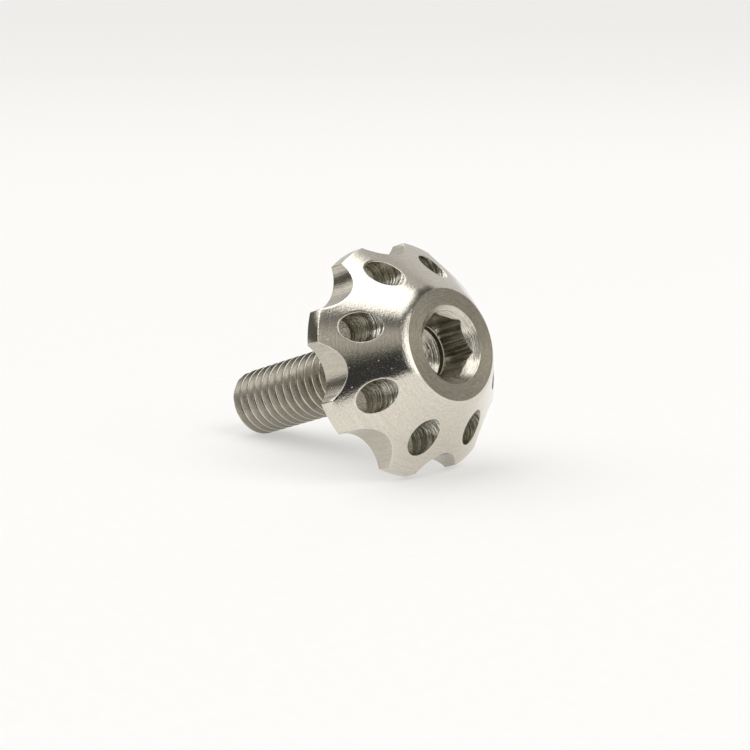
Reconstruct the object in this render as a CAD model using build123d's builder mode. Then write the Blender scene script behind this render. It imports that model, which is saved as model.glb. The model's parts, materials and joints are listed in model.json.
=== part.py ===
"""Umbrella head bolt: an M6 hexagon socket bolt with a wide, scalloped and drilled cone head.

The bolt is turned, drilled, milled and broached from one bar, so it is one solid.
It lies as it comes to rest: on the two lobe corners beside its lowest scallop and on the
edge of the shank's end chamfer. The frame's origin is on the surface it lies on, under the
middle of its length. +Z is up, and +X runs along the bolt towards the head. Millimetres.
"""

import os
from math import acos, atan2, cos, radians, sin, tan

from build123d import *

# ---- Head -------------------------------------------------------------------------------
head_d = 20.0
head_h = 6.5
rim_h = 1.35  # height of the cylindrical land below the 45 degree cone
face_d = 9.52  # flat top face, faced off to a crisp edge
shoulder_d = 10.8  # where the rounded shoulder runs out into the cone
edge_break = 0.12  # radius left on the edges of the rim and the scallops

# ---- Scallops and drilled holes, in turn round the head ------------------------------------
lobe_count = 8
scallop_d = 6.3  # milling cutter
scallop_circle_d = 23.4
drill_d = 2.55
drill_circle_d = 15.0
drill_floor = 1.0  # height of the drill's shoulder above the back of the head
drill_point_angle = 118.0
mouth_break = 0.1  # chamfer left where the holes' mouths are deburred

# ---- Hexagon socket ---------------------------------------------------------------------
socket_af = 5.0
socket_depth = 3.5
socket_turn = 10.9  # degrees from the lowest scallop to a corner of the hexagon
countersink_d = 6.7
countersink_angle = 90.0
pilot_d = 4.9  # drilled before broaching, a little deeper than the hexagon
pilot_depth = 4.0

# ---- Shank ------------------------------------------------------------------------------
shank_d = 5.9  # over the crests of the M6 thread
shank_length = 20.0
end_chamfer = 1.0
underhead_fillet = 0.25

# ---- Worked out from the sizes above --------------------------------------------------------
head_r = head_d / 2
shank_r = shank_d / 2
face_r = face_d / 2
shoulder_r = shoulder_d / 2
scallop_r = scallop_d / 2
scallop_circle_r = scallop_circle_d / 2
drill_circle_r = drill_circle_d / 2
drill_r = drill_d / 2
pilot_r = pilot_d / 2
shoulder_h = rim_h + head_r - shoulder_r
first_hole_angle = 180 / lobe_count

# Half the opening of a scallop at the rim, as an angle at the bolt's axis
scallop_half_angle = acos(
    (head_r**2 + scallop_circle_r**2 - scallop_r**2) / (2 * head_r * scallop_circle_r)
)

# At rest the lowest scallop faces straight down, so the bolt stands on the two back corners
# of that scallop and on the outer edge of the end chamfer.
corner_drop = head_r * cos(scallop_half_angle)
rest_tilt = atan2(corner_drop - shank_r, shank_length - end_chamfer)
rest_height = corner_drop * cos(rest_tilt)
reach_back = shank_length * cos(rest_tilt) + (shank_r - end_chamfer) * sin(rest_tilt)
reach_front = max(
    head_h * cos(rest_tilt) + face_r * sin(rest_tilt),
    rim_h * cos(rest_tilt) + corner_drop * sin(rest_tilt),
)

# ---- Planes -----------------------------------------------------------------------------
# Across the axis at the back of the head: local X points down through the lowest scallop,
# and local Z runs up the axis to the socket.
seat = Plane(
    origin=((reach_back - reach_front) / 2, 0, rest_height),
    x_dir=(sin(rest_tilt), 0, -cos(rest_tilt)),
    z_dir=(cos(rest_tilt), 0, sin(rest_tilt)),
)
# Along the axis: local X is the radius, and local Y the height above the seat.
half_section = Plane(origin=seat.origin, x_dir=seat.x_dir, z_dir=-seat.y_dir)
bolt_axis = Axis(seat.origin, seat.z_dir)


def drill_point(drill_radius):
    """Cut the cone that a twist drill leaves below its shoulder, at each location."""
    Cone(
        bottom_radius=0,
        top_radius=drill_radius,
        height=drill_radius / tan(radians(drill_point_angle / 2)),
        align=(Align.CENTER, Align.CENTER, Align.MAX),
        mode=Mode.SUBTRACT,
    )


def curved_edges(faces):
    """The edges of some walls, without the circles across the bolt's axis."""
    return faces.edges().filter_by(GeomType.CIRCLE, reverse=True)


with BuildPart(seat) as bolt:
    # Turned blank: shank, back of the head, rim land, cone, rounded shoulder and face
    with BuildSketch(half_section):
        with BuildLine():
            Polyline(
                (0, head_h),
                (0, -shank_length),
                (shank_r, -shank_length),
                (shank_r, 0),
                (head_r, 0),
                (head_r, rim_h),
                (shoulder_r, shoulder_h),
            )
            TangentArc((shoulder_r, shoulder_h), (face_r, head_h), tangent=(-1, 1))
            Line((face_r, head_h), (0, head_h))
        make_face()
    revolve(axis=bolt_axis)

    end_face = bolt.faces().filter_by(GeomType.PLANE).sort_by(bolt_axis)[0]
    chamfer(end_face.edges(), length=end_chamfer)

    turned_edges = bolt.edges().filter_by(GeomType.CIRCLE).sort_by(bolt_axis)
    shank_edges = turned_edges.filter_by(lambda edge: abs(edge.radius - shank_r) < 1e-4)
    fillet(shank_edges[-1], radius=underhead_fillet)
    rim_edges = turned_edges.filter_by(lambda edge: abs(edge.radius - head_r) < 1e-4)
    fillet(rim_edges[-1], radius=edge_break)

    # Blind drilled holes, one in the middle of each lobe
    with Locations((0, 0, head_h)):
        with PolarLocations(drill_circle_r, lobe_count, start_angle=first_hole_angle):
            Hole(drill_r, depth=head_h - drill_floor)
    drilled_walls = bolt.faces(Select.LAST).filter_by(GeomType.CYLINDER)
    mouths = curved_edges(drilled_walls).filter_by(GeomType.LINE, reverse=True)
    chamfer(mouths, length=mouth_break)
    with Locations((0, 0, drill_floor)):
        with PolarLocations(drill_circle_r, lobe_count, start_angle=first_hole_angle):
            drill_point(drill_r)

    # Scallops, milled along the axis right through the head
    with BuildSketch(seat):
        with PolarLocations(scallop_circle_r, lobe_count):
            Circle(scallop_r)
    extrude(amount=head_h, mode=Mode.SUBTRACT)
    milled_walls = bolt.faces(Select.LAST).filter_by(GeomType.CYLINDER)
    milled_walls = milled_walls.filter_by(lambda wall: abs(wall.radius - scallop_r) < 1e-4)
    fillet(curved_edges(milled_walls), radius=edge_break)

    # Hexagon socket: countersunk pilot hole with its drill point, then the broached hexagon
    with Locations((0, 0, head_h)):
        CounterSinkHole(
            radius=pilot_r,
            counter_sink_radius=countersink_d / 2,
            depth=pilot_depth,
            counter_sink_angle=countersink_angle,
        )
    with Locations((0, 0, head_h - pilot_depth)):
        drill_point(pilot_r)
    with BuildSketch(seat.offset(head_h)):
        RegularPolygon(
            radius=socket_af / 2, side_count=6, major_radius=False, rotation=socket_turn
        )
    extrude(amount=-socket_depth, mode=Mode.SUBTRACT)

os.makedirs("parts", exist_ok=True)
bolt.part.label = "umbrella_head_bolt"
export_step(bolt.part, "parts/umbrella_head_bolt.step")
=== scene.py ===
"""Umbrella head bolt in bare machined stainless steel, lying on pale paper.

One closed piece stands for the bolt's CAD node: the turned and milled head with its blind
holes, the broached hexagon socket, and the shank with its real M6 x 1 right-hand thread. It is
built in the bolt's own frame in millimetres (+Z up the axis from the back of the head, +X
through the lowest scallop) and then laid down where the record's mounts put the bolt.
"""

import json
import math

import bmesh
import bpy
import numpy as np
from mathutils import Matrix, Quaternion, Vector


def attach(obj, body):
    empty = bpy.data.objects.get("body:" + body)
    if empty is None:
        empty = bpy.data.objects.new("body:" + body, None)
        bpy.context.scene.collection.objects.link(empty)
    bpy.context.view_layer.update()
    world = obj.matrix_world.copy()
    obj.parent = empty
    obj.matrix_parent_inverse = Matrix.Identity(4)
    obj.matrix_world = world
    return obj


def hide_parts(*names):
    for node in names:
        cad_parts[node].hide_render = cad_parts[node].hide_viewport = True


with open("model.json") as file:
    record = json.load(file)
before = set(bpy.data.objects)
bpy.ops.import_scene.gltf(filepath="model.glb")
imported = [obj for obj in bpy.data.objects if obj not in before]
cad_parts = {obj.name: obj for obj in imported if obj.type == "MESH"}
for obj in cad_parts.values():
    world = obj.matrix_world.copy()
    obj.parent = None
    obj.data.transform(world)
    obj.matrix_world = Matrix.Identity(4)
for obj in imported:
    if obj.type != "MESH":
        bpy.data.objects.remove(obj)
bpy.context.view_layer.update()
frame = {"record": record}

NODE = "umbrella_head_bolt"
MM = 0.001

# ---- Head, in millimetres, with heights above its back ------------------------------------------
head_r = 10.0
head_h = 6.5
face_r = 4.76
shoulder_r = 5.4
rim_h = 1.35
edge_break = 0.12  # radius on the rim's and the scallops' front edges
back_break = 0.05  # the same, behind
lobe_count = 8
scallop_r = 3.15
scallop_circle_r = 11.7
drill_r = 1.275
drill_circle_r = 7.5
drill_floor = 1.0
mouth_break = 0.045  # radius on the holes' mouths
drill_point_angle = math.radians(118)

# ---- Hexagon socket -----------------------------------------------------------------------------
socket_af = 5.0
socket_floor = 3.0
socket_corner_r = 0.14  # in the corners, as a broach leaves them
socket_turn = math.radians(10.9)
socket_break = 0.05  # width of the worn edge between a flat and the countersink
countersink_r = 3.35
pilot_r = 2.45
pilot_floor = 2.5
pilot_break = 0.04

# ---- Shank, with the thread of an M6 x 1 screw --------------------------------------------------
crest_r = 2.94
root_r = 2.39
pitch = 1.0
crest_at = 0.33  # height of a crest straight below the axis, past a whole number of pitches
burnish_depth = 0.01  # the dies leave the crests bright down to this depth
fillet_r = 0.25
shank_top = -fillet_r
shank_end = -20.0
end_r = 1.95
runout_start = -0.3  # between these two heights the thread fades out below the head
runout_end = -1.6
# The form from a crest to the next root, as shares of half the pitch and of the thread's depth
thread_form = [(0, 0), (0.07, 0), (0.1, 0.02), (0.15, 0.085), (0.7, 0.93), (0.8, 0.985), (1, 1)]
# Where rows of points lie on that half pitch: they crowd where the form bends
row_places = [0, 0.07, 0.1, 0.15, 0.32, 0.52, 0.7, 0.8, 1]

# ---- How finely the skin is divided -------------------------------------------------------------
rim_steps = 8  # along half a lobe's rim
corner_steps = 4  # round a lobe's corner, from the rim to the scallop
scallop_steps = 14  # along half a scallop
side_steps = 12  # from a scallop in to the shoulder
arc_steps = 20  # along one lobe's share of the shoulder
cone_steps = 8  # from a hole's mouth out to the lobe's outline
shoulder_steps = 8  # from the cone in to the face
edge_steps = 4  # round each small edge and fillet
wall_steps = 4  # up each wall of a hole and of the socket
flat_steps = 12  # along a flat of the hexagon
broach_steps = 6  # round a corner of the hexagon
shank_steps = 96  # round the shank
seam = 2e-4  # points closer than this are merged
level_gap = 1e-3  # edges this near a level are filled as part of it
sharp_angle = math.radians(32)  # an edge that turns more than this stays crisp

# ---- Worked out from the sizes above ------------------------------------------------------------
half_lobe = math.pi / lobe_count
drill_point_slope = 1 / math.tan(drill_point_angle / 2)
rows_a_turn = 2 * (len(row_places) - 1)


# ---- Small tools --------------------------------------------------------------------------------
def srgb(hex_code):
    """A colour given as sRGB hex, in the linear values that Blender works in."""
    parts = [int(hex_code[i : i + 2], 16) / 255 for i in (0, 2, 4)]
    return (*[c / 12.92 if c <= 0.04045 else ((c + 0.055) / 1.055) ** 2.4 for c in parts], 1.0)


def add(tree, kind, inputs=None, **settings):
    """Adds one node: its settings by name, and each input as a value or as a socket to link."""
    node = tree.nodes.new(kind)
    for name, value in settings.items():
        setattr(node, name, value)
    for key, value in (inputs or {}).items():
        if isinstance(value, bpy.types.NodeSocket):
            tree.links.new(value, node.inputs[key])
        else:
            node.inputs[key].default_value = value
    return node


def unit(vectors):
    """The vectors, each brought to a length of 1."""
    return vectors / np.linalg.norm(vectors, axis=-1, keepdims=True)


def polar(radius, angle):
    """Points of the plan at a radius and an angle, which may be arrays."""
    return np.stack([radius * np.cos(angle), radius * np.sin(angle)], axis=-1)


# ---- The bolt's own frame, from the record ------------------------------------------------------
mounts = {mount["name"]: mount for mount in frame["record"]["mounts"]}
axis_up = -Vector(mounts["threaded_shank"]["axis"]).normalized()
seat_point = Vector(mounts["underhead_seat"]["pos_m"])
on_axis = Vector(mounts["threaded_shank"]["pos_m"])
seat_centre = on_axis + axis_up * (seat_point - on_axis).dot(axis_up)
sideways = Vector((0, 1, 0))
down_out = sideways.cross(axis_up)
own_frame = Matrix((down_out, sideways, axis_up)).transposed()
laid_down = Matrix.Translation(seat_centre) @ own_frame.to_4x4() @ Matrix.Scale(MM, 4)


# ---- Skin: rings of points joined by bands of quads ---------------------------------------------
class Skin:
    """Collects points and faces. Rings run anticlockwise seen from the socket's side, and bands
    go from the middle outwards, over the edge and down, so that all faces point outwards."""

    def __init__(self):
        self.points = []
        self.faces = []
        self.work = []  # how each face was made

    def ring(self, points):
        """Adds points, and returns their numbers."""
        first = len(self.points)
        self.points.extend(map(tuple, points))
        return list(range(first, len(self.points)))

    def band(self, inner, outer, work, closed=True):
        """Joins two rings, or two open lines, by quads. work is the tool that made the band, or a
        list with the tool for each of its quads."""
        count = len(inner)
        quads = count if closed else count - 1
        for i in range(quads):
            j = (i + 1) % count
            self.faces.append((inner[i], outer[i], outer[j], inner[j]))
        self.work.extend([work] * quads if isinstance(work, str) else work)

    def fan(self, centre, ring, work):
        """Closes the inside of a ring with triangles that meet at its centre."""
        tip = self.ring([centre])[0]
        for i, start in enumerate(ring):
            self.faces.append((tip, start, ring[(i + 1) % len(ring)]))
            self.work.append(work)

    def mesh(self, name):
        """The skin as a mesh. For each tool, its faces carry a flag with the tool's name."""
        made = bpy.data.meshes.new(name)
        made.from_pydata(self.points, [], self.faces)
        for work in sorted(set(self.work)):
            flags = made.attributes.new(work, "BOOLEAN", "FACE")
            flags.data.foreach_set("value", [w == work for w in self.work])
        return made


def with_height(plan, height):
    """Points of the plan, lifted to a height."""
    return np.column_stack([plan, np.broadcast_to(height, len(plan))])


# ---- Head ---------------------------------------------------------------------------------------
# The shoulder is an arc that leaves the 45 degree cone tangentially and ends at the flat face.
shoulder_h = rim_h + head_r - shoulder_r
chord = np.array([face_r - shoulder_r, head_h - shoulder_h])
inward = -np.ones(2) / math.sqrt(2)
shoulder_bend = chord @ chord / (2 * chord @ inward)
shoulder_mid = np.array([shoulder_r, shoulder_h]) + shoulder_bend * inward


def front_height(plan):
    """Height of the head's cone and shoulder over a point of the plan."""
    radius = np.linalg.norm(plan, axis=-1)
    cone = rim_h + head_r - radius
    rise = shoulder_bend**2 - (radius - shoulder_mid[0]) ** 2
    arc = shoulder_mid[1] + np.sqrt(np.maximum(rise, 0))
    return np.where(radius < shoulder_r, arc, cone)


def rounded_edge(plan, outward, radius):
    """Rings of a rounded edge between the front and an upright wall, from the front to the wall.
    plan is the wall's line, and outward points out of the metal."""
    slope = np.sum(outward * unit(plan), axis=-1)
    centre_h = front_height(plan) + radius * (slope - np.hypot(1, slope))
    last = np.arctan2(1, slope)
    rings = []
    for part in np.linspace(1, 0, edge_steps + 1):
        turn = last * part
        reach = radius * (1 - np.cos(turn))
        at = plan - outward * reach[:, None]
        rings.append(with_height(at, centre_h + radius * np.sin(turn)))
    rings[0][:, 2] = front_height(rings[0][:, :2])
    return rings


def half_wall():
    """Plan of a lobe's outer wall on one side: rim, rounded corner and half a scallop."""
    scallop = polar(scallop_circle_r, half_lobe)
    to_corner = head_r - edge_break
    to_scallop = scallop_r + edge_break
    spread = math.acos(
        (to_corner**2 + scallop_circle_r**2 - to_scallop**2) / (2 * to_corner * scallop_circle_r)
    )
    corner_at = half_lobe - spread
    corner = polar(to_corner, corner_at)
    rim = polar(head_r, np.linspace(0, corner_at, rim_steps + 1))
    toward = scallop - corner
    turned = math.atan2(toward[1], toward[0])
    rounding = np.linspace(corner_at, turned, corner_steps + 1)[1:]
    bend = corner + polar(edge_break, rounding)
    first = math.atan2(-toward[1], -toward[0]) % (2 * math.pi)
    sweep = np.linspace(first, math.pi + half_lobe, scallop_steps + 1)[1:]
    hollow = scallop + polar(scallop_r, sweep)
    plan = np.vstack([rim, bend, hollow])
    outward = np.vstack([unit(rim), polar(1, rounding), -polar(1, sweep)])
    return plan, outward


def lobe_skin():
    """One eighth of the head: its cone, blind hole, outer wall and shoulder."""
    half_plan, half_out = half_wall()
    mirrored = np.array([1, -1])
    wall = np.vstack([half_plan[:0:-1] * mirrored, half_plan])
    outward = np.vstack([half_out[:0:-1] * mirrored, half_out])
    edge = rounded_edge(wall, outward, edge_break)

    side_r = np.linspace(np.linalg.norm(edge[0][-1][:2]), shoulder_r, side_steps + 1)[1:]
    side = polar(side_r, np.full(side_steps, half_lobe))
    inner_at = np.linspace(half_lobe, -half_lobe, arc_steps + 1)
    inner = polar(shoulder_r, inner_at)
    around = np.vstack([edge[0][:, :2], side, inner[1:], (side * mirrored)[-2::-1]])

    skin = Skin()
    centre = np.array([drill_circle_r, 0])
    away = unit(around - centre)
    bore = centre + drill_r * away
    mouth = rounded_edge(bore, -away, mouth_break)[::-1]
    wall_rings = [
        with_height(bore, drill_floor + (mouth[0][:, 2] - drill_floor) * part)
        for part in np.linspace(0, 1, wall_steps, endpoint=False)
    ]
    point_h = drill_floor - drill_r * drill_point_slope
    point_ring = with_height(centre + drill_r / 2 * away, (drill_floor + point_h) / 2)
    ring = skin.ring(point_ring)
    skin.fan((*centre, point_h), ring, "pointed")
    works = ["pointed"] + ["drilled"] * len(wall_rings) + ["deburred"] * (len(mouth) - 1)
    for points, work in zip([*wall_rings, *mouth], works):
        outer = skin.ring(points)
        skin.band(ring, outer, work)
        ring = outer
    start = mouth[-1][:, :2]
    for step in range(1, cone_steps + 1):
        plan = start + (around - start) * step / cone_steps
        outer = skin.ring(with_height(plan, front_height(plan)))
        skin.band(ring, outer, "turned")
        ring = outer

    rim_quads = 2 * rim_steps
    scallop_quads = (len(wall) - 1 - rim_quads) // 2
    wall_works = ["milled"] * scallop_quads + ["turned"] * rim_quads + ["milled"] * scallop_quads
    rim_line = ring[: len(wall)]
    back = []
    for turn in np.linspace(0, math.pi / 2, edge_steps + 1):
        reach = back_break * (1 - math.cos(turn))
        back.append(with_height(wall - outward * reach, back_break * (1 - math.sin(turn))))
    edges = ["deburred"] * (len(wall) - 1)
    works = [edges] * (len(edge) - 1) + [wall_works] + [edges] * (len(back) - 1)
    for points, work in zip([*edge[1:], *back], works):
        outer = skin.ring(points)
        skin.band(rim_line, outer, work, closed=False)
        rim_line = outer

    shoulder_line = ring[len(wall) + side_steps - 1 :][: arc_steps + 1][::-1]
    for step in range(1, shoulder_steps + 1):
        radius = shoulder_r + (face_r - shoulder_r) * step / shoulder_steps
        plan = polar(radius, inner_at[::-1])
        inner_line = skin.ring(with_height(plan, front_height(plan)))
        skin.band(inner_line, shoulder_line, "turned", closed=False)
        shoulder_line = inner_line
    return skin


def hexagon():
    """Plan of the socket's hexagon, its corners rounded as a broach leaves them."""
    corner_mid = (socket_af / 2 - socket_corner_r) / math.cos(math.pi / 6)
    points = []
    for corner in range(6):
        toward = socket_turn + corner * math.pi / 3
        turns = toward + np.linspace(-math.pi / 6, math.pi / 6, broach_steps + 1)
        arc = polar(corner_mid, toward) + polar(socket_corner_r, turns)
        following = toward + math.pi / 3
        end = polar(corner_mid, following) + polar(socket_corner_r, turns[-1])
        steps = np.linspace(0, 1, flat_steps + 1)[1:-1, None]
        points.extend([*arc, *(arc[-1] + (end - arc[-1]) * steps)])
    return np.array(points)


def socket_skin():
    """Pilot hole with its drill point, hexagon and countersink, from the bottom up."""
    outline = hexagon()
    angle = np.arctan2(outline[:, 1], outline[:, 0])
    reach = np.linalg.norm(outline, axis=1)
    sink_h = head_h - countersink_r  # height of the countersink's cone less its radius
    parts = np.linspace(0, 1, wall_steps + 1)
    rings = []
    for part in parts[1:]:
        height = pilot_floor - pilot_r * drill_point_slope * (1 - part)
        rings.append((with_height(polar(pilot_r * part, angle), height), "reamed"))
    rings.append((with_height(polar(pilot_r, angle), socket_floor - pilot_break), "reamed"))
    rings.append((with_height(polar(pilot_r + pilot_break, angle), socket_floor), "deburred"))
    rings.append((with_height(outline, socket_floor), "broached"))
    top = reach + sink_h - socket_break
    for part in parts[1:]:
        height = socket_floor + (top - socket_floor) * part
        rings.append((with_height(outline, height), "broached"))
    worn = reach + socket_break
    for part in parts:
        radius = worn + (countersink_r - worn) * part
        plan = polar(radius, angle)
        rings.append((with_height(plan, sink_h + radius), "countersunk"))
    skin = Skin()
    ring = skin.ring(rings[0][0])
    skin.fan((0, 0, pilot_floor - pilot_r * drill_point_slope), ring, "reamed")
    for points, work in rings[1:]:
        outer = skin.ring(points)
        skin.band(ring, outer, work)
        ring = outer
    return skin


def underhead_skin():
    """The fillet between the shank and the back of the head."""
    angle = np.arange(shank_steps) * 2 * math.pi / shank_steps
    skin = Skin()
    ring = None
    for turn in np.linspace(0, math.pi / 2, edge_steps + 1):
        radius = crest_r + fillet_r * (1 - math.sin(turn))
        height = -fillet_r * (1 - math.cos(turn))
        outer = skin.ring(with_height(polar(radius, angle), height))
        if ring:
            skin.band(ring, outer, "turned")
        ring = outer
    return skin


# ---- Finishes -----------------------------------------------------------------------------------
# All are one bar of stainless steel, which reflects a little warm. What differs is the tool that
# left each surface, and so the direction and depth of its fine marks. The real marks are mostly
# 0.05 to 0.1 mm apart: they are drawn as coarse as they need to be to show. Some finishes take a
# lighter or a darker copy of the steel's colour, which is painted light or painted shade: lighter
# in the drilled holes and on the socket's flats, darker on the milled scallops, in the pilot hole
# and on the thread's flanks.
STEEL = srgb("E4DED1")
MILLED_STEEL_PAINTED_SHADE = srgb("C9C3B6")
BORE_STEEL_PAINTED_LIGHT = srgb("F3F1E4")
BROACHED_STEEL_PAINTED_LIGHT = srgb("F0EEDF")
ROLLED_STEEL_PAINTED_SHADE = srgb("A6A195")

# Along X, Y and Z of the bolt's own frame, in marks to the millimetre
upright_per_mm = (6.0, 6.0, 0.6)
scored_per_mm = (6.0, 6.0, 0.15)
drilled_per_mm = (0.25, 0.25, 3.5)
burrs_per_mm = (7.0, 7.0, 7.0)

grain_per_mm = 5.5
clouds_per_mm = 0.45
pits_per_mm = 1.2
pit_floor_share = 0.02  # a pit's floor and its rim, as shares of the pits' spacing
pit_rim_share = 0.07
pit_depth_um = 12.0


def own_place(tree):
    """Position in the bolt's own frame, in millimetres."""
    here = add(tree, "ShaderNodeTexCoord").outputs["Object"]
    return add(
        tree,
        "ShaderNodeMapping",
        {
            "Vector": here,
            "Location": seat_centre,
            "Rotation": own_frame.to_euler(),
            "Scale": (MM, MM, MM),
        },
        vector_type="TEXTURE",
    ).outputs["Vector"]


def round_the_axis(tree):
    """Direction of a turning tool's path at each point: round the bolt's axis."""
    here = add(tree, "ShaderNodeTexCoord").outputs["Object"]
    out = add(tree, "ShaderNodeVectorMath", {0: here, 1: seat_centre}, operation="SUBTRACT")
    return add(
        tree, "ShaderNodeVectorMath", {0: axis_up, 1: out.outputs[0]}, operation="CROSS_PRODUCT"
    ).outputs[0]


def ring_marks(tree, place, per_mm=9.0, round_scale=3.0, lean=-1.0):
    """Noise drawn out into rings round the axis, per_mm of them to the millimetre. round_scale is
    how often a ring changes in a radian of its way round. lean is -1 on a cone that narrows
    towards the face, and 1 on one that widens."""
    part = add(tree, "ShaderNodeSeparateXYZ", {"Vector": place}).outputs
    flat = add(tree, "ShaderNodeCombineXYZ", {"X": part["X"], "Y": part["Y"]}).outputs[0]
    radius = add(tree, "ShaderNodeVectorMath", {0: flat}, operation="LENGTH").outputs["Value"]
    outward = add(tree, "ShaderNodeVectorMath", {0: flat}, operation="NORMALIZE").outputs[0]
    slow = add(
        tree, "ShaderNodeVectorMath", {0: outward, "Scale": round_scale}, operation="SCALE"
    ).outputs[0]
    across = add(
        tree, "ShaderNodeMath", {0: part["Z"], 1: lean, 2: radius}, operation="MULTIPLY_ADD"
    ).outputs[0]
    scaled = add(tree, "ShaderNodeMath", {0: across, 1: per_mm}, operation="MULTIPLY").outputs[0]
    return add(
        tree,
        "ShaderNodeTexNoise",
        {"Vector": slow, "W": scaled, "Scale": 1.0, "Detail": 3.0, "Roughness": 0.7},
        noise_dimensions="4D",
    ).outputs["Fac"]


def drawn_marks(tree, place, per_mm):
    """Noise with so many marks per millimetre along X, Y and Z of the bolt's own frame."""
    stretched = add(
        tree, "ShaderNodeVectorMath", {0: place, 1: per_mm}, operation="MULTIPLY"
    ).outputs[0]
    return add(
        tree,
        "ShaderNodeTexNoise",
        {"Vector": stretched, "Scale": 1.0, "Detail": 4.0, "Roughness": 0.65},
    ).outputs["Fac"]


def sharpened(tree, noise):
    """Noise with its middle stretched to fill 0 to 1, for the crisp marks of a coarse tool."""
    return add(
        tree, "ShaderNodeMapRange", {"Value": noise, "From Min": 0.4, "From Max": 0.6}
    ).outputs["Result"]


def drill_marks(tree, place):
    """Uneven rings down a drilled bore."""
    return sharpened(tree, drawn_marks(tree, place, drilled_per_mm))


def scored_marks(tree, place):
    """Crisp lines down the socket, where the broach's teeth have scored it."""
    return sharpened(tree, drawn_marks(tree, place, scored_per_mm))


def upright_marks(tree, place):
    """Faint lines along the axis, as the side of a milling cutter leaves."""
    return drawn_marks(tree, place, upright_per_mm)


def burrs(tree, place):
    """Small bumps without a direction."""
    return drawn_marks(tree, place, burrs_per_mm)


def countersink_marks(tree, place):
    """Rings from the countersink's chatter, on a cone that widens towards the face."""
    return ring_marks(tree, place, per_mm=4.5, round_scale=0.2, lean=1.0)


def reamer_marks(tree, place):
    """Wide, slow rings down the pilot hole and its drill point."""
    return ring_marks(tree, place, per_mm=2.5, round_scale=0.6, lean=1.0)


def pits(tree, place):
    """Small pits under a millimetre apart, where grit or a chip has scarred the surface."""
    from_centre = add(
        tree, "ShaderNodeTexVoronoi", {"Vector": place, "Scale": pits_per_mm, "Randomness": 1.0}
    ).outputs["Distance"]
    return add(
        tree,
        "ShaderNodeMapRange",
        {
            "Value": from_centre,
            "From Min": pit_floor_share,
            "From Max": pit_rim_share,
            "To Min": -1.0,
            "To Max": 0.0,
        },
        interpolation_type="SMOOTHSTEP",
    ).outputs["Result"]


def steel(
    name, roughness, marks, depth_um, anisotropy=0.0, grain_um=8.0, shade=0.22, colour=STEEL
):
    """Bare stainless steel. marks draws the tool's marks, which are depth_um deep at most and
    darken the colour in their valleys by up to the share shade, partly as grime and partly as
    painted shade and glints. grain_um is the depth of the metal's own grain.
    anisotropy draws reflections out across finer rings round the axis."""
    made = bpy.data.materials.new(name)
    made.use_nodes = True
    tree = made.node_tree
    tree.nodes.clear()
    place = own_place(tree)
    lines = marks(tree, place)
    grain = add(
        tree,
        "ShaderNodeTexNoise",
        {"Vector": place, "Scale": grain_per_mm, "Detail": 3.0, "Roughness": 0.75},
    ).outputs["Fac"]

    # The marks, the grain and the pits each bend the surface that the ones before have left
    raised = {}
    layers = ((lines, depth_um), (grain, grain_um), (pits(tree, place), pit_depth_um))
    for height, layer_um in layers:
        bump = {"Height": height, "Strength": 1.0, "Distance": layer_um * 1e-6}
        raised["Normal"] = add(tree, "ShaderNodeBump", {**bump, **raised}).outputs["Normal"]

    # Handling and the polish leave duller clouds a few millimetres across
    clouds = add(
        tree, "ShaderNodeTexNoise", {"Vector": place, "Scale": clouds_per_mm, "Detail": 4.0}
    ).outputs["Fac"]
    dull = add(
        tree,
        "ShaderNodeMapRange",
        {
            "Value": clouds,
            "From Min": 0.3,
            "From Max": 0.7,
            "To Min": roughness * 0.85,
            "To Max": roughness * 1.2,
        },
    ).outputs["Result"]

    # The marks and the grain darken the colour in their valleys, partly as grime and partly as
    # painted shade and glints that stand in for how the marks catch the light: the two noises add
    # up to 0.75 to 1.25
    depth = add(tree, "ShaderNodeMath", {0: lines, 1: grain}, operation="ADD").outputs[0]
    grime_and_painted_shade = add(
        tree,
        "ShaderNodeMapRange",
        {"Value": depth, "From Min": 0.75, "From Max": 1.25, "To Min": 1.0 - shade, "To Max": 1.0},
    ).outputs["Result"]
    tone = add(
        tree, "ShaderNodeVectorMath", {0: colour[:3], "Scale": grime_and_painted_shade}, operation="SCALE"
    ).outputs[0]
    shader = add(
        tree,
        "ShaderNodeBsdfPrincipled",
        {
            "Base Color": tone,
            "Roughness": dull,
            "Metallic": 1.0,
            "Normal": raised["Normal"],
            "Anisotropic": anisotropy,
        },
    )
    if anisotropy:
        tree.links.new(round_the_axis(tree), shader.inputs["Tangent"])
        shader.inputs["Anisotropic Rotation"].default_value = 0.25
    add(tree, "ShaderNodeOutputMaterial", {"Surface": shader.outputs[0]})
    return made


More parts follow.
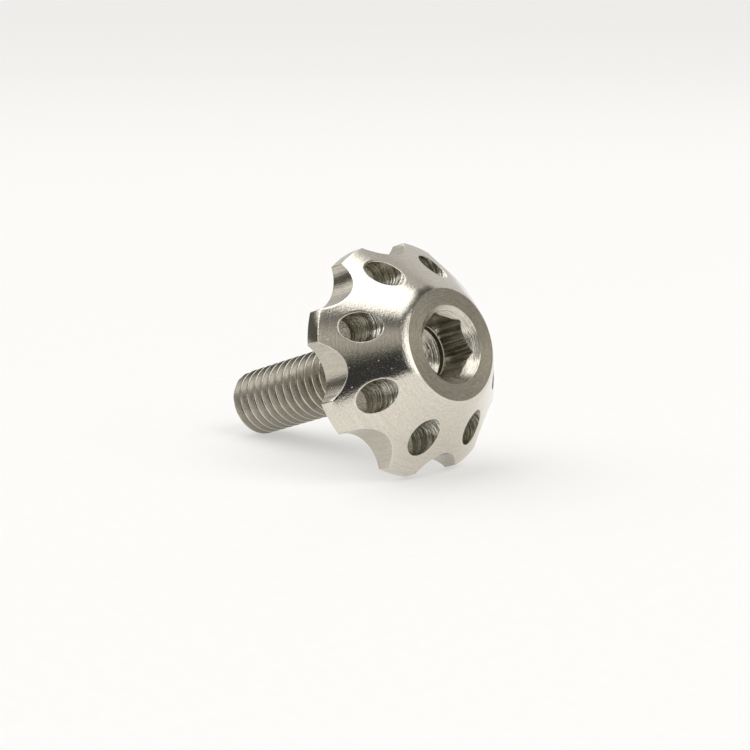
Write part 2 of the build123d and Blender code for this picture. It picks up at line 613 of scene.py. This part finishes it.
finish = {
    # Turned and lightly polished: clear reflections, softened across fine rings
    "turned": steel("stainless_turned", 0.075, ring_marks, 4.0, anisotropy=0.5),
    # Faced: finer rings that draw a soft bow tie of light across the flat face
    "faced": steel("stainless_faced", 0.22, ring_marks, 4.0, anisotropy=0.9, shade=0.3),
    # Side-milled: satin, with faint upright cutter marks, on a darker copy of the steel that is
    # painted shade
    "milled": steel(
        "stainless_milled", 0.17, upright_marks, 12.0, grain_um=4.0, colour=MILLED_STEEL_PAINTED_SHADE
    ),
    # Drilled: uneven rings round the wall, dark and crisp between bright ones, partly painted into
    # the colour as shade, on a lighter copy of the steel that is painted light in the deep holes
    "drilled": steel(
        "stainless_drilled", 0.18, drill_marks, 40.0, grain_um=3.0, shade=0.5, colour=BORE_STEEL_PAINTED_LIGHT
    ),
    # The drill's point: a rough, dull cone at the bottom of each hole
    "pointed": steel("stainless_drill_point", 0.22, burrs, 70.0, shade=0.45),
    # Deburred by hand: an uneven line round each hole's mouth and along the lobes' edges, bright
    # partly because less painted shade darkens it than its neighbours
    "deburred": steel("stainless_deburred", 0.16, burrs, 45.0, grain_um=2.0, shade=0.1),
    # Reamed: the smooth pilot hole below the hexagon, with soft wide rings, on a darker copy of the
    # steel that is painted shade
    "reamed": steel(
        "stainless_reamed", 0.16, reamer_marks, 45.0, shade=0.45, colour=MILLED_STEEL_PAINTED_SHADE
    ),
    # Broached: dark, crisp scores that run down the socket, painted into the colour as shade and
    # bright streaks, on a lighter copy of the steel that is painted light on the socket's flats
    "broached": steel(
        "stainless_broached",
        0.24,
        scored_marks,
        30.0,
        grain_um=3.0,
        shade=0.65,
        colour=BROACHED_STEEL_PAINTED_LIGHT,
    ),
    # Countersunk: bright and clear, with the rings that the cutter's chatter leaves
    "countersunk": steel(
        "stainless_countersunk", 0.1, countersink_marks, 80.0, grain_um=2.0, shade=0.3
    ),
    # Rolled thread: its flanks are dull, with fine marks along the helix, and grey from a darker
    # copy of the steel that is painted shade
    "threaded": steel(
        "stainless_rolled_flank",
        0.26,
        ring_marks,
        3.0,
        anisotropy=0.3,
        grain_um=2.0,
        colour=ROLLED_STEEL_PAINTED_SHADE,
    ),
    # Rolled crest: a bright line, burnished by the dies
    "crested": steel("stainless_rolled_crest", 0.2, ring_marks, 3.0, grain_um=2.0, shade=0.1),
}


# ---- Geometry Nodes -----------------------------------------------------------------------------
def tree_with(name, sizes):
    """An empty Geometry Nodes tree with a named input for each size."""
    tree = bpy.data.node_groups.new(name, "GeometryNodeTree")
    tree.is_modifier = True
    tree.interface.new_socket("Geometry", in_out="INPUT", socket_type="NodeSocketGeometry")
    for label, value in sizes.items():
        kind = "NodeSocketInt" if isinstance(value, int) else "NodeSocketFloat"
        if isinstance(value, bpy.types.Material):
            kind = "NodeSocketMaterial"
        tree.interface.new_socket(label, in_out="INPUT", socket_type=kind)
    tree.interface.new_socket("Geometry", in_out="OUTPUT", socket_type="NodeSocketGeometry")
    return tree


def grown(mesh, tree, sizes):
    """The mesh that a tree makes from a mesh, with the tree's inputs set by their sockets."""
    holder = bpy.data.objects.new(tree.name, mesh)
    bpy.context.scene.collection.objects.link(holder)
    nodes = holder.modifiers.new(tree.name, "NODES")
    nodes.node_group = tree
    for item in tree.interface.items_tree:
        if item.in_out == "INPUT" and item.name in sizes:
            nodes[item.identifier] = sizes[item.name]
    bpy.context.view_layer.update()
    ready = holder.evaluated_get(bpy.context.evaluated_depsgraph_get())
    made = bpy.data.meshes.new_from_object(ready)
    bpy.data.objects.remove(holder)
    return made


def lobes_round_head(skin):
    """Eight lobes round the axis, one scallop straight down, with their seams merged."""
    sizes = {"Lobes": lobe_count, "First lobe": half_lobe, "Seam": seam}
    tools = ("turned", "milled", "drilled", "pointed", "deburred")
    sizes.update({tool.capitalize(): finish[tool] for tool in tools})
    tree = tree_with("lobes_round_head", sizes)
    given = add(tree, "NodeGroupInput").outputs
    spots = add(tree, "GeometryNodePoints", {"Count": given["Lobes"]}).outputs[0]
    index = add(tree, "GeometryNodeInputIndex").outputs[0]
    step = add(
        tree, "ShaderNodeMath", {0: math.tau, 1: given["Lobes"]}, operation="DIVIDE"
    ).outputs[0]
    turn = add(
        tree,
        "ShaderNodeMath",
        {0: index, 1: step, 2: given["First lobe"]},
        operation="MULTIPLY_ADD",
    ).outputs[0]
    facing = add(tree, "ShaderNodeCombineXYZ", {"Z": turn}).outputs[0]
    ring = add(
        tree,
        "GeometryNodeInstanceOnPoints",
        {"Points": spots, "Instance": given["Geometry"], "Rotation": facing},
    ).outputs[0]
    solid = add(tree, "GeometryNodeRealizeInstances", {"Geometry": ring}).outputs[0]
    shape = add(
        tree, "GeometryNodeMergeByDistance", {"Geometry": solid, "Distance": given["Seam"]}
    ).outputs[0]
    for tool in tools:
        made_so = add(
            tree, "GeometryNodeInputNamedAttribute", {"Name": tool}, data_type="BOOLEAN"
        ).outputs["Attribute"]
        shape = add(
            tree,
            "GeometryNodeSetMaterial",
            {"Geometry": shape, "Selection": made_so, "Material": given[tool.capitalize()]},
        ).outputs[0]
    add(tree, "NodeGroupOutput", {"Geometry": shape})
    return grown(skin, tree, sizes)


def curve_points(node, points):
    """Straight pieces between the points of a float curve."""
    line = node.mapping.curves[0]
    while len(line.points) < len(points):
        line.points.new(0.5, 0.5)
    for point, place in zip(line.points, points):
        point.location = place
        point.handle_type = "VECTOR"
    node.mapping.update()


def thread_round_shank():
    """The threaded shank as one helical grid: each row keeps its place on the thread's form. The
    grid winds once round for each pitch, and what would pass the shank's two ends is pressed flat
    against them and merged away."""
    turns = math.ceil((shank_top - shank_end) / pitch) + 3
    sizes = {
        "Turns": turns,
        "Points along": turns * rows_a_turn + 1,
        "Points round": shank_steps + 1,
        "Steps round": shank_steps,
        "Pitch": pitch,
        "Lowest crest": (math.floor(shank_end / pitch) - 2) * pitch + crest_at,
        "Crest radius": crest_r,
        "Root radius": root_r,
        "Burnished from": crest_r - burnish_depth,
        "Shank end": shank_end,
        "Shank top": shank_top,
        "End radius": end_r,
        "Runout start": runout_start,
        "Runout end": runout_end,
        "Seam": seam,
        "Flanks": finish["threaded"],
        "Crests": finish["crested"],
    }
    tree = tree_with("thread_round_shank", sizes)
    given = add(tree, "NodeGroupInput").outputs
    grid = add(
        tree,
        "GeometryNodeMeshGrid",
        {
            "Size X": 1.0,
            "Size Y": 1.0,
            "Vertices X": given["Points round"],
            "Vertices Y": given["Points along"],
        },
    ).outputs["Mesh"]

    # How far each point is round its turn, and how many turns up it is
    here = add(tree, "GeometryNodeInputPosition").outputs[0]
    shares = add(
        tree, "ShaderNodeVectorMath", {0: here, 1: (0.5, 0.5, 0.0)}, operation="ADD"
    ).outputs[0]
    share = add(tree, "ShaderNodeSeparateXYZ", {"Vector": shares}).outputs
    turn = share["X"]
    climb = add(
        tree, "ShaderNodeMath", {0: share["Y"], 1: given["Turns"]}, operation="MULTIPLY"
    ).outputs[0]

    # The nearest crest, and how far off it the row lies: 0 at the crest and 1 at the root
    crest = add(tree, "ShaderNodeMath", {0: climb}, operation="ROUND").outputs[0]
    off = add(tree, "ShaderNodeMath", {0: climb, 1: crest}, operation="SUBTRACT").outputs[0]
    side = add(tree, "ShaderNodeMath", {0: off}, operation="SIGN").outputs[0]
    gap = add(tree, "ShaderNodeMath", {0: off}, operation="ABSOLUTE").outputs[0]
    row = add(tree, "ShaderNodeMath", {0: gap, 1: 2.0}, operation="MULTIPLY").outputs[0]
    spacing = add(tree, "ShaderNodeFloatCurve", {"Value": row})
    half_rows = len(row_places) - 1
    curve_points(spacing, [(i / half_rows, at) for i, at in enumerate(row_places)])
    form = add(tree, "ShaderNodeFloatCurve", {"Value": spacing.outputs[0]})
    curve_points(form, thread_form)

    # Height: the crest's turn, the row's place beside it and the climb of the helix
    half_pitches = add(
        tree, "ShaderNodeMath", {0: spacing.outputs[0], 1: 0.5}, operation="MULTIPLY"
    ).outputs[0]
    shift = add(
        tree, "ShaderNodeMath", {0: side, 1: half_pitches}, operation="MULTIPLY"
    ).outputs[0]
    beside = add(tree, "ShaderNodeMath", {0: crest, 1: shift}, operation="ADD").outputs[0]
    wound_up = add(tree, "ShaderNodeMath", {0: beside, 1: turn}, operation="ADD").outputs[0]
    height = add(
        tree,
        "ShaderNodeMath",
        {0: wound_up, 1: given["Pitch"], 2: given["Lowest crest"]},
        operation="MULTIPLY_ADD",
    ).outputs[0]

    # Radius: the thread's form, which fades out below the head, and the chamfer at the end
    full_depth = add(
        tree,
        "ShaderNodeMath",
        {0: given["Crest radius"], 1: given["Root radius"]},
        operation="SUBTRACT",
    ).outputs[0]
    fade = add(
        tree,
        "ShaderNodeMapRange",
        {
            "Value": height,
            "From Min": given["Runout start"],
            "From Max": given["Runout end"],
            "To Min": 0.0,
            "To Max": full_depth,
        },
        interpolation_type="SMOOTHSTEP",
    ).outputs["Result"]
    depth = add(
        tree, "ShaderNodeMath", {0: form.outputs[0], 1: fade}, operation="MULTIPLY"
    ).outputs[0]
    threaded = add(
        tree, "ShaderNodeMath", {0: given["Crest radius"], 1: depth}, operation="SUBTRACT"
    ).outputs[0]
    kept = add(
        tree,
        "ShaderNodeClamp",
        {"Value": height, "Min": given["Shank end"], "Max": given["Shank top"]},
    ).outputs[0]
    from_end = add(
        tree, "ShaderNodeMath", {0: kept, 1: given["Shank end"]}, operation="SUBTRACT"
    ).outputs[0]
    chamfered = add(
        tree, "ShaderNodeMath", {0: given["End radius"], 1: from_end}, operation="ADD"
    ).outputs[0]
    radius = add(
        tree, "ShaderNodeMath", {0: threaded, 1: chamfered}, operation="MINIMUM"
    ).outputs[0]

    # Each point goes out by its radius and is turned round the axis
    angle = add(tree, "ShaderNodeMath", {0: turn, 1: math.tau}, operation="MULTIPLY").outputs[0]
    straight_out = add(tree, "ShaderNodeCombineXYZ", {"X": radius, "Z": kept}).outputs[0]
    place = add(
        tree,
        "ShaderNodeVectorRotate",
        {"Vector": straight_out, "Angle": angle},
        rotation_type="Z_AXIS",
    ).outputs[0]
    wound = add(
        tree, "GeometryNodeSetPosition", {"Geometry": grid, "Position": place}
    ).outputs[0]
    disc = add(
        tree,
        "GeometryNodeMeshCircle",
        {"Vertices": given["Steps round"], "Radius": given["End radius"]},
        fill_type="TRIANGLE_FAN",
    ).outputs[0]
    at_end = add(tree, "ShaderNodeCombineXYZ", {"Z": given["Shank end"]}).outputs[0]
    capped = add(
        tree, "GeometryNodeTransform", {"Geometry": disc, "Translation": at_end}
    ).outputs[0]
    both = add(tree, "GeometryNodeJoinGeometry")
    tree.links.new(wound, both.inputs[0])
    tree.links.new(capped, both.inputs[0])
    shape = add(
        tree,
        "GeometryNodeMergeByDistance",
        {"Geometry": both.outputs[0], "Distance": given["Seam"]},
    ).outputs[0]
    shape = add(tree, "GeometryNodeRealizeInstances", {"Geometry": shape}).outputs[0]
    shape = add(
        tree, "GeometryNodeSetMaterial", {"Geometry": shape, "Material": given["Flanks"]}
    ).outputs[0]
    flat = add(
        tree, "ShaderNodeVectorMath", {0: here, 1: (1.0, 1.0, 0.0)}, operation="MULTIPLY"
    ).outputs[0]
    off_axis = add(
        tree, "ShaderNodeVectorMath", {0: flat}, operation="LENGTH"
    ).outputs["Value"]
    burnished = add(
        tree, "ShaderNodeMath", {0: off_axis, 1: given["Burnished from"]}, operation="GREATER_THAN"
    ).outputs[0]
    shape = add(
        tree,
        "GeometryNodeSetMaterial",
        {"Geometry": shape, "Selection": burnished, "Material": given["Crests"]},
    ).outputs[0]
    add(tree, "NodeGroupOutput", {"Geometry": shape})
    return grown(bpy.data.meshes.new("thread_start"), tree, sizes)


# ---- The bolt as one closed piece ---------------------------------------------------------------
def with_finishes(skin, name):
    """The skin's mesh with each face in the finish that its tool leaves."""
    mesh = skin.mesh(name)
    kinds = sorted(set(skin.work))
    for kind in kinds:
        mesh.materials.append(finish[kind])
    mesh.polygons.foreach_set("material_index", [kinds.index(work) for work in skin.work])
    return mesh


def one_piece(meshes, name):
    """Joins the meshes, merges their seams and fills the flat face and the flat back."""
    objects = []
    for mesh in meshes:
        holder = bpy.data.objects.new(name, mesh)
        bpy.context.scene.collection.objects.link(holder)
        objects.append(holder)
    piece = objects[0]
    with bpy.context.temp_override(
        active_object=piece, object=piece, selected_editable_objects=objects
    ):
        bpy.ops.object.join()

    # A mesh that comes from a tree brings an empty slot with its materials
    materials = piece.data.materials
    for slot in reversed(range(len(materials))):
        if materials[slot] is None:
            materials.pop(index=slot)
    materials.append(finish["faced"])
    faced_slot = materials.find(finish["faced"].name)

    shell = bmesh.new()
    shell.from_mesh(piece.data)
    bmesh.ops.remove_doubles(shell, verts=shell.verts, dist=seam)
    for height in (head_h, 0.0):
        level = [
            edge
            for edge in shell.edges
            if edge.is_boundary and all(abs(v.co.z - height) < level_gap for v in edge.verts)
        ]
        filled = bmesh.ops.triangle_fill(shell, use_beauty=True, edges=level)["geom"]
        for face in filled:
            if isinstance(face, bmesh.types.BMFace):
                face.material_index = faced_slot
    bmesh.ops.recalc_face_normals(shell, faces=shell.faces)
    for face in shell.faces:
        face.smooth = True
    bmesh.ops.transform(shell, matrix=laid_down, verts=shell.verts)
    shell.to_mesh(piece.data)
    shell.free()

    for flag in finish:
        if flag in piece.data.attributes:
            piece.data.attributes.remove(piece.data.attributes[flag])
    piece.data.set_sharp_from_angle(angle=sharp_angle)
    even = piece.modifiers.new("even_normals", "WEIGHTED_NORMAL")
    even.keep_sharp = True
    even.mode = "FACE_AREA_WITH_ANGLE"
    even.weight = 80
    return piece


bolt = one_piece(
    [
        lobes_round_head(lobe_skin().mesh("one_lobe")),
        with_finishes(socket_skin(), "socket"),
        with_finishes(underhead_skin(), "underhead"),
        thread_round_shank(),
    ],
    "machined_bolt",
)
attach(bolt, "root")
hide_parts(NODE)


# ---- Paper, in metres ---------------------------------------------------------------------------
# The paper's own colour is kept grey. Its glow is painted light, since the paper is no lamp, and it
# makes up much of the paper's white.
PAPER = srgb("A3A2A1")
PAPER_PAINTED_GLOW = srgb("FFFEFC")
sheet_side = 30.0
sheet_front = 0.095  # the sheet ends this far from the bolt, towards the camera
painted_fall_off = (0.3, 0.8)  # painted shade: the paper's colour and glow get dimmer between these distances from the bolt
far_level = 0.955
fibres_per_m = 900.0  # soft clumps of fibres, about a millimetre apart


def white_paper():
    """Matt white paper that glows a little, painted light that keeps its shadows pale. Its faint
    fibres, and the painted shade that dims its colour and glow towards the far end in place of the
    lamps' fall-off, keep it from being flat."""
    made = bpy.data.materials.new("matt_white_paper")
    made.use_nodes = True
    tree = made.node_tree
    tree.nodes.clear()
    here = add(tree, "ShaderNodeTexCoord").outputs["Object"]
    away = add(tree, "ShaderNodeVectorMath", {0: here}, operation="LENGTH").outputs["Value"]
    # Painted shade: the paper's colour and glow grow dimmer away from the bolt
    near = add(
        tree,
        "ShaderNodeMapRange",
        {
            "Value": away,
            "From Min": painted_fall_off[0],
            "From Max": painted_fall_off[1],
            "To Min": 1.0,
            "To Max": far_level,
        },
    ).outputs["Result"]
    fibres = add(
        tree, "ShaderNodeTexNoise", {"Vector": here, "Scale": fibres_per_m, "Detail": 3.0}
    ).outputs["Fac"]
    mottle = add(
        tree, "ShaderNodeMapRange", {"Value": fibres, "To Min": 0.985, "To Max": 1.015}
    ).outputs["Result"]
    level = add(tree, "ShaderNodeMath", {0: near, 1: mottle}, operation="MULTIPLY").outputs[0]
    tone = add(
        tree, "ShaderNodeVectorMath", {0: PAPER[:3], "Scale": level}, operation="SCALE"
    ).outputs[0]
    # Painted light: the paper glows, though it is no lamp, so that its shadows stay pale
    glow = add(
        tree, "ShaderNodeVectorMath", {0: PAPER_PAINTED_GLOW[:3], "Scale": level}, operation="SCALE"
    ).outputs[0]
    shader = add(
        tree,
        "ShaderNodeBsdfPrincipled",
        {
            "Base Color": tone,
            "Roughness": 0.9,
            "Specular IOR Level": 0.2,
            "Emission Color": glow,
            "Emission Strength": 0.48,
        },
    )
    add(tree, "ShaderNodeOutputMaterial", {"Surface": shader.outputs[0]})
    return made


def lay_paper():
    """One wide sheet under the bolt, cut off square to the camera's view."""
    toward_camera = Vector((1, -1, 0)).normalized()
    along_front = Vector((1, 1, 0)).normalized()
    corners = [
        toward_camera * front + along_front * side
        for front, side in (
            (-sheet_side, sheet_side),
            (-sheet_side, -sheet_side),
            (sheet_front, -sheet_side),
            (sheet_front, sheet_side),
        )
    ]
    sheet = bpy.data.meshes.new("paper_floor")
    sheet.from_pydata(corners, [], [(0, 1, 2, 3)])
    sheet.materials.append(white_paper())
    floor = bpy.data.objects.new("paper_floor", sheet)
    bpy.context.scene.collection.objects.link(floor)


# ---- Light and camera ---------------------------------------------------------------------------
BACKDROP = srgb("FBFAF7")
room_tone = (0.11, 0.11, 0.1, 1.0)
lamp_azimuth = 5
lamp_elevation = 48
lamp_distance = 1.4
lamp_across = 1.2
lamp_watts = 9.5
lens_mm = 96.27
sensor_mm = 36.0
camera_at = (0.12336, -0.11819, 0.04004)
camera_turn = (79.07, -0.313, 45.565)  # round X, Y and Z, in degrees


def heading(azimuth, elevation):
    """The direction at an azimuth and an elevation in degrees."""
    turn, rise = math.radians(azimuth), math.radians(elevation)
    return Vector(
        (math.cos(rise) * math.cos(turn), math.cos(rise) * math.sin(turn), math.sin(rise))
    )


def panel_share(tree, toward, azimuth, elevation, half_width, half_height, roll, soft):
    """1 toward a flat panel and 0 elsewhere, with a soft edge. All angles are in degrees."""
    facing = heading(azimuth, elevation).to_track_quat("Z", "Y")
    facing = facing @ Quaternion((0, 0, 1), math.radians(roll))
    local = add(
        tree,
        "ShaderNodeMapping",
        {"Vector": toward, "Rotation": facing.to_euler()},
        vector_type="TEXTURE",
    ).outputs[0]
    part = add(tree, "ShaderNodeSeparateXYZ", {"Vector": local}).outputs
    share = add(tree, "ShaderNodeMath", {0: part["Z"], 1: 0.0}, operation="GREATER_THAN").outputs[0]
    for label, half in (("X", half_width), ("Y", half_height)):
        slope = add(
            tree, "ShaderNodeMath", {0: part[label], 1: part["Z"]}, operation="DIVIDE"
        ).outputs[0]
        off = add(tree, "ShaderNodeMath", {0: slope}, operation="ABSOLUTE").outputs[0]
        within = add(
            tree,
            "ShaderNodeMapRange",
            {
                "Value": off,
                "From Min": math.tan(math.radians(half + soft)),
                "From Max": math.tan(math.radians(half - soft)),
            },
            interpolation_type="SMOOTHSTEP",
        ).outputs["Result"]
        share = add(
            tree, "ShaderNodeMath", {0: share, 1: within}, operation="MULTIPLY"
        ).outputs[0]
    return share


def disc_share(tree, toward, azimuth, elevation, radius, soft):
    """1 toward a round softbox and 0 elsewhere, with a soft edge."""
    close = add(
        tree,
        "ShaderNodeVectorMath",
        {0: toward, 1: heading(azimuth, elevation)},
        operation="DOT_PRODUCT",
    ).outputs["Value"]
    return add(
        tree,
        "ShaderNodeMapRange",
        {
            "Value": close,
            "From Min": math.cos(math.radians(radius + soft)),
            "From Max": math.cos(math.radians(radius - soft)),
        },
        interpolation_type="SMOOTHSTEP",
    ).outputs["Result"]


def studio():
    """A dark studio, with the panels, boards and softboxes that the steel mirrors."""
    world = bpy.data.worlds.new("studio")
    world.use_nodes = True
    bpy.context.scene.world = world
    tree = world.node_tree
    tree.nodes.clear()
    toward = add(tree, "ShaderNodeTexCoord").outputs["Generated"]
    # Each panel's share of the view, and its brightness. A panel covers the ones before it. A flat
    # one is placed by azimuth, elevation, half width, half height, roll and soft edge, and a round
    # one by azimuth, elevation, radius and soft edge, all in degrees.
    panels = [
        # The camera and its stand, dark against the paper
        (panel_share(tree, toward, -47.5, -1, 14, 20, 26, 3), (0.045, 0.045, 0.045)),
        # Round softbox opposite the head: only its left side shows past a dark board, which also
        # holds back all but a low slanting slit of light
        (disc_share(tree, toward, 12.5, 22.8, 48.0, 1.0), (2.0, 1.99, 1.97)),
        (disc_share(tree, toward, 28, 25, 51, 4), (0.16, 0.157, 0.145)),
        (panel_share(tree, toward, 48, 17, 26, 3, -24, 2.5), (0.56, 0.545, 0.47)),
        # Strip light above that board, which the thread and the countersink mirror
        (panel_share(tree, toward, 12, 58, 17, 8, 0, 3), (2.4, 2.39, 2.36)),
        # Paper sweep behind the bolt: its curled right side, its dimmer top, its foot, and the
        # low stretch on the left
        (panel_share(tree, toward, 114, 22, 14, 27, 0, 5), (0.7, 0.69, 0.67)),
        (panel_share(tree, toward, 151, 35, 27, 36, 0, 4), (0.58, 0.57, 0.56)),
        (panel_share(tree, toward, 148, 12, 29, 20, 0, 8), (0.66, 0.65, 0.64)),
        (panel_share(tree, toward, -150, -3, 35, 7, 0, 3), (0.8, 0.79, 0.77)),
        # Dim wall and reflector to the left of the camera
        (panel_share(tree, toward, -97, 38, 38, 26, 0, 5), (0.25, 0.245, 0.232)),
        (panel_share(tree, toward, -64, 36, 11, 11, 0, 6), (0.55, 0.54, 0.5)),
        # Overhead softbox, behind the middle
        (disc_share(tree, toward, -151, 60, 38.6, 4), (2.2, 2.19, 2.17)),
    ]
    mirrored = room_tone
    for share, brightness in panels:
        mirrored = add(
            tree,
            "ShaderNodeMix",
            {"Factor": share, "A": mirrored, "B": (*brightness, 1.0)},
            data_type="RGBA",
        ).outputs["Result"]
    lit = add(tree, "ShaderNodeBackground", {"Color": mirrored}).outputs[0]
    seen = add(tree, "ShaderNodeBackground", {"Color": BACKDROP}).outputs[0]
    camera_ray = add(tree, "ShaderNodeLightPath").outputs["Is Camera Ray"]
    both = add(tree, "ShaderNodeMixShader", {0: camera_ray, 1: lit, 2: seen}).outputs[0]
    add(tree, "ShaderNodeOutputWorld", {"Surface": both})


def stand_lamp():
    """A soft lamp to the right, flagged off the steel: it lights the paper, so that the bolt's
    shadows fall to the left."""
    lamp = bpy.data.lights.new("flagged_lamp", "AREA")
    lamp.shape = "DISK"
    lamp.size = lamp_across
    lamp.energy = lamp_watts
    stand = bpy.data.objects.new("flagged_lamp", lamp)
    stand.location = heading(lamp_azimuth, lamp_elevation) * lamp_distance
    stand.rotation_euler = stand.location.to_track_quat("Z", "Y").to_euler()
    stand.visible_glossy = False
    bpy.context.scene.collection.objects.link(stand)


def place_camera():
    """A long lens a little above the paper, off to one side of the bolt's face."""
    lens = bpy.data.cameras.new("camera")
    lens.lens = lens_mm
    lens.sensor_width = sensor_mm
    lens.clip_start = 0.01
    lens.clip_end = 100.0
    camera = bpy.data.objects.new("camera", lens)
    camera.location = camera_at
    camera.rotation_euler = [math.radians(angle) for angle in camera_turn]
    bpy.context.scene.collection.objects.link(camera)
    bpy.context.scene.camera = camera
    bpy.context.scene.view_settings.view_transform = "Standard"


lay_paper()
studio()
stand_lamp()
place_camera()
